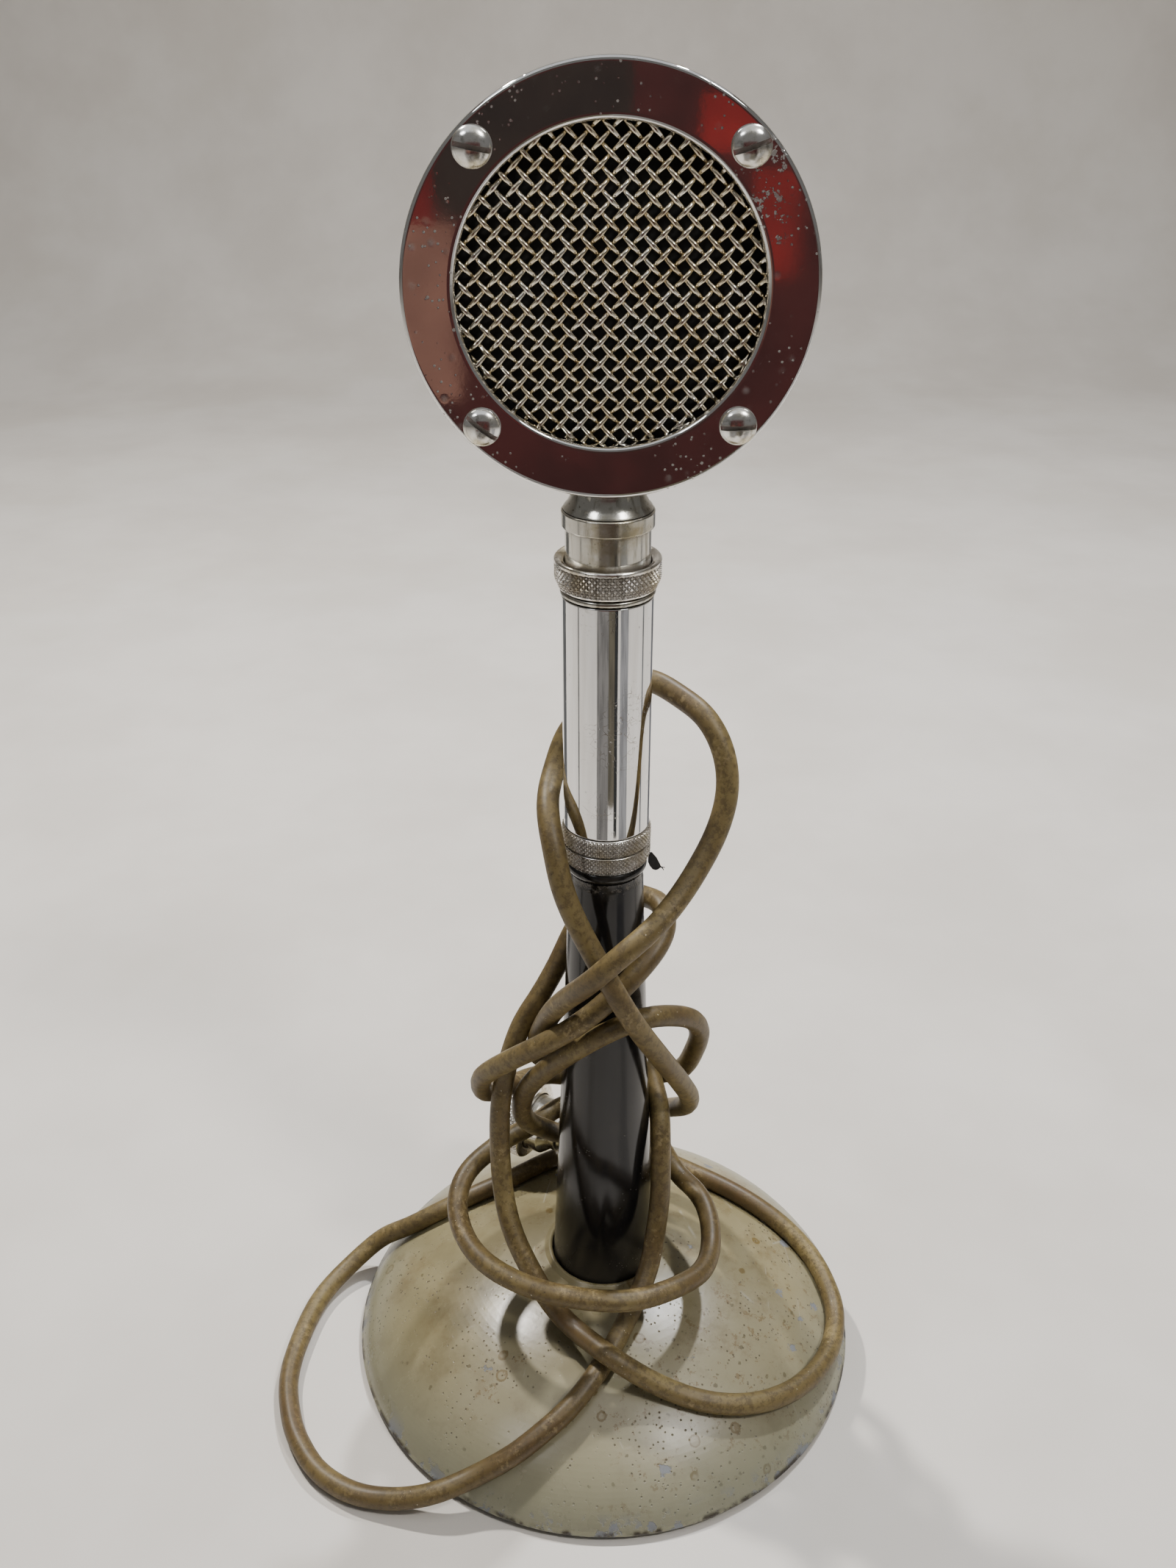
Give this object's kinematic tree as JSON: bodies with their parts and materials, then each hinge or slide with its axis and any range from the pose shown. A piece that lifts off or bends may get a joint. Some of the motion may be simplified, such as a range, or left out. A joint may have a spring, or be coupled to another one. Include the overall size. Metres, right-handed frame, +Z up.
{
  "type": "desktop microphone stand",
  "caption": "Round-headed desktop microphone on a swivelling chrome tube, tapered dark column and domed cast base, with a long free cord and a round multi-pin connector.",
  "frame": {"origin": "centre of the base's felt pad, where it rests on the table", "axes": "+Z up the stand's axis, -Y towards the front of the microphone head, +X to the right seen from the front"},
  "size_m": [0.1654, 0.1442, 0.339],
  "materials": {
    "cast_base": "aged semi-gloss grey-olive enamel with chips and rust spots",
    "black_enamel": "gloss black enamel with dust",
    "chrome": "polished chrome plate with fine pitting",
    "nickel": "aged nickel plate, knurled where turned by hand",
    "steel": "plain turned steel",
    "brass": "dull brass",
    "mesh_wire": "woven wire, tarnished",
    "dark_cloth": "black open cloth",
    "insulator": "black moulded plastic",
    "felt": "dark felt",
    "cord_jacket": "brown rubber, dusty and scuffed",
    "tape": "torn black tape"
  },
  "bodies": {
    "stand": {"base_bolt": "steel", "base_casting": "cast_base", "base_nut": "steel", "base_pad": "felt", "base_washer": "steel", "cable_grommet": "insulator", "column": "black_enamel", "connector_clamp": "nickel", "connector_contact_1": "brass", "connector_contact_2": "brass", "connector_contact_3": "brass", "connector_insert": "insulator", "connector_shell": "nickel", "cord": "cord_jacket", "inner_cable": "insulator", "jam_ring": "nickel", "tape_tab": "tape"},
    "swivel_clamp": {"clamp_ring": "nickel"},
    "upper_stem": {"upper_tube": "chrome", "tube_bush": "steel", "tube_ferrule": "nickel", "socket_insulator": "insulator", "socket_contact_1": "brass", "socket_contact_2": "brass", "socket_contact_3": "brass"},
    "head_lock": {"lock_ring": "nickel"},
    "microphone_head": {"capsule_can": "brass", "capsule_gasket": "felt", "capsule_retainer": "steel", "capsule_terminal_1": "brass", "capsule_terminal_2": "brass", "diaphragm": "steel", "front_ring": "chrome", "grille_cloth": "dark_cloth", "head_lead_1": "insulator", "head_lead_2": "insulator", "neck": "nickel", "plug_collar": "nickel", "plug_insulator": "insulator", "plug_pin_1": "brass", "plug_pin_2": "brass", "plug_pin_3": "brass", "rear_case": "chrome", "ring_screw_1": "nickel", "ring_screw_2": "nickel", "ring_screw_3": "nickel", "ring_screw_4": "nickel", "wire_grille": "mesh_wire"},
    "connector_coupling": {"coupling_ring": "nickel"}
  },
  "joints": [
    {"name": "swivel_clamp_turn", "type": "hinge", "parent": "stand", "child": "swivel_clamp", "pos_m": [0, 0, 0.1708], "axis": [0, 0, 1], "range_deg": [-180, 180]},
    {"name": "stem_swivel", "type": "hinge", "parent": "stand", "child": "upper_stem", "pos_m": [0, 0, 0.1733], "axis": [0, 0, 1], "range_deg": [-90, 90]},
    {"name": "head_lock_turn", "type": "hinge", "parent": "upper_stem", "child": "head_lock", "pos_m": [0, 0, 0.2372], "axis": [0, 0, 1], "continuous": true},
    {"name": "head_lift", "type": "slide", "parent": "upper_stem", "child": "microphone_head", "axis": [0, 0, 1], "range_m": [0, 0.018]},
    {"name": "connector_coupling_turn", "type": "hinge", "parent": "stand", "child": "connector_coupling", "pos_m": [-0.02425, 0.04132, 0.04231], "axis": [-0.881, 0.4705, 0.0501], "continuous": true}
  ]
}
